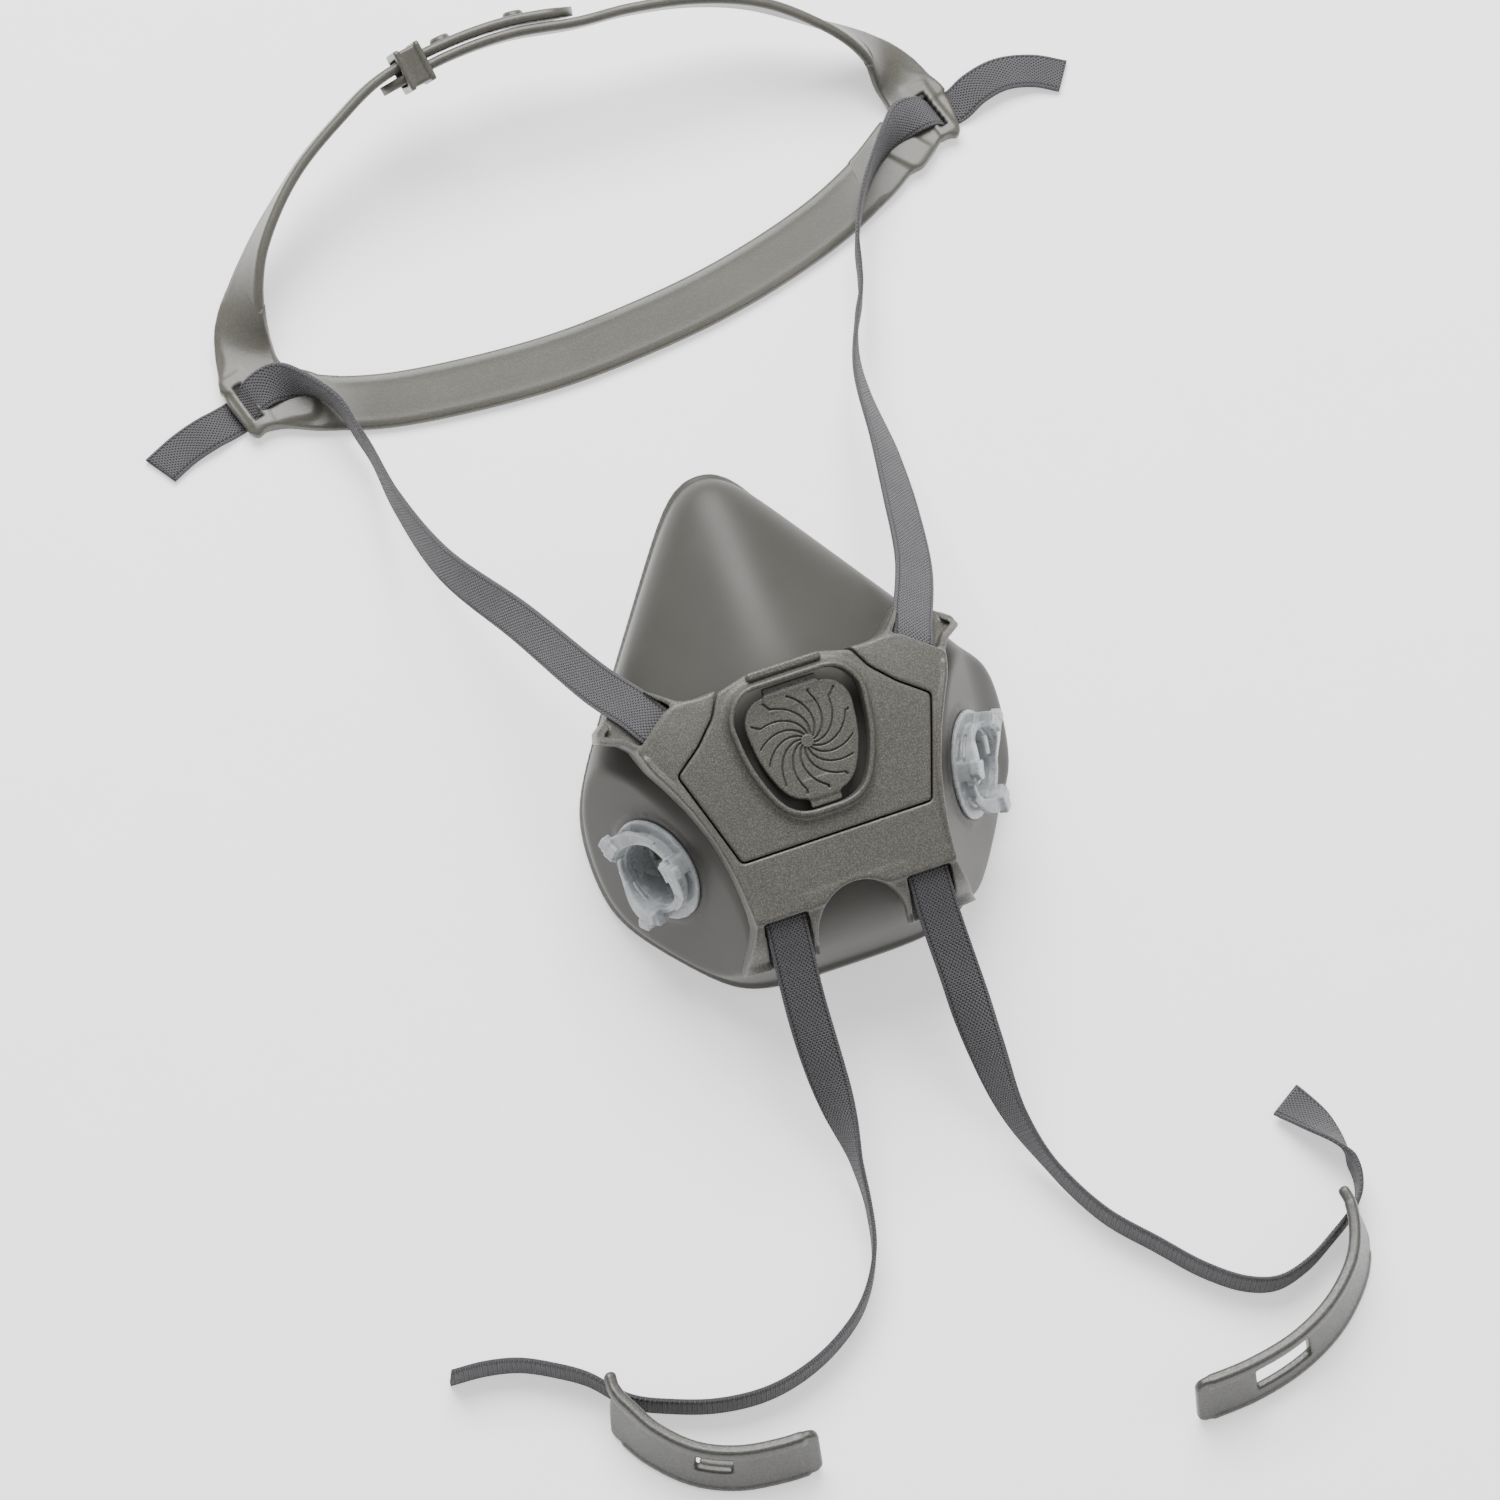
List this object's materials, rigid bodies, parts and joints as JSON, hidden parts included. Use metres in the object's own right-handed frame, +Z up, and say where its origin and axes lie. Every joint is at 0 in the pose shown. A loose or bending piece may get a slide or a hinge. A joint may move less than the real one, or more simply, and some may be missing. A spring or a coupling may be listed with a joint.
{
  "type": "half-face respirator mask",
  "caption": "Half-face respirator: moulded facepiece with front yoke, exhale valve, side cartridge ports, webbing straps, head cradle and neck buckle, laid out on a floor.",
  "frame": {"origin": "under the middle of the whole laid-out object, on the floor it lies on", "axes": "+Z up from the floor, +Y from the chin to the nose of the mask and on to the head cradle, +X to the wearer's left"},
  "size_m": [0.2662, 0.4046, 0.0721],
  "materials": {
    "facepiece_rubber": "smooth matte",
    "yoke_plastic": "fine mould texture",
    "port_plastic": "milky, translucent",
    "valve_rubber": "smooth",
    "cradle_plastic": "satin, slightly translucent",
    "webbing": "woven elastic",
    "buckle_plastic": "satin"
  },
  "bodies": {
    "mask": {"facepiece": "facepiece_rubber", "front_yoke": "yoke_plastic", "valve_panel": "yoke_plastic", "exhale_valve_seat": "port_plastic", "port_left": "port_plastic", "port_right": "port_plastic", "inhale_seat_left": "port_plastic", "inhale_seat_right": "port_plastic"},
    "valve_cover": {"exhale_valve_cover": "yoke_plastic"},
    "valve_disc": {"exhale_valve_disc": "valve_rubber"},
    "flap_left": {"inhale_flap_left": "valve_rubber"},
    "flap_right": {"inhale_flap_right": "valve_rubber"},
    "upper_straps": {"upper_strap_left": "webbing", "upper_strap_right": "webbing"},
    "cradle": {"upper_strap_end_left": "webbing", "upper_strap_end_right": "webbing", "upper_tail_left": "webbing", "upper_tail_right": "webbing", "rear_band": "cradle_plastic", "cradle_end_left": "cradle_plastic", "cradle_end_right": "cradle_plastic", "crown_strap_left": "cradle_plastic", "crown_strap_right": "cradle_plastic", "crown_keeper": "cradle_plastic"},
    "neck_strap_right": {"lower_strap_right": "webbing", "lower_tail_right": "webbing"},
    "neck_strap_left": {"lower_strap_left": "webbing", "lower_tail_left": "webbing"},
    "hook": {"neck_buckle_hook": "buckle_plastic"},
    "receiver": {"neck_buckle_receiver": "buckle_plastic"}
  },
  "joints": [
    {"name": "cover_lift_off", "type": "slide", "parent": "mask", "child": "valve_cover", "axis": [0, -0.4067, 0.9135], "range_m": [0, 0.012]},
    {"name": "exhale_disc_lift", "type": "slide", "parent": "mask", "child": "valve_disc", "axis": [0, -0.4067, 0.9135], "range_m": [0, 0.001], "stiffness_N_per_m": 20},
    {"name": "inhale_flap_left_open", "type": "slide", "parent": "mask", "child": "flap_left", "axis": [-0.8385, 0.4053, -0.3642], "range_m": [0, 0.0015], "stiffness_N_per_m": 20},
    {"name": "inhale_flap_right_open", "type": "slide", "parent": "mask", "child": "flap_right", "axis": [0.8385, 0.4053, -0.3642], "range_m": [0, 0.0015], "stiffness_N_per_m": 20},
    {"name": "upper_strap_swing", "type": "hinge", "parent": "mask", "child": "upper_straps", "pos_m": [-0.0091, -0.0196, 0.064], "axis": [1, 0, 0], "range_deg": [0, 30]},
    {"name": "cradle_swing", "type": "hinge", "parent": "upper_straps", "child": "cradle", "pos_m": [-0.0091, 0.1035, 0.0093], "axis": [1, 0, 0], "range_deg": [-20, 25]},
    {"name": "neck_strap_right_swing", "type": "hinge", "parent": "mask", "child": "neck_strap_right", "pos_m": [-0.0268, -0.0681, 0.046], "axis": [-1, 0, 0], "range_deg": [0, 60]},
    {"name": "neck_strap_left_swing", "type": "hinge", "parent": "mask", "child": "neck_strap_left", "pos_m": [0.0086, -0.0681, 0.046], "axis": [-1, 0, 0], "range_deg": [0, 60]},
    {"name": "hook_turn", "type": "hinge", "parent": "neck_strap_right", "child": "hook", "pos_m": [-0.0976, -0.1602, 0.008], "axis": [0, 0, 1], "range_deg": [-12, 0]},
    {"name": "receiver_turn", "type": "hinge", "parent": "neck_strap_left", "child": "receiver", "pos_m": [0.076, -0.1777, 0.008], "axis": [0, 0, 1], "range_deg": [0, 12]}
  ]
}
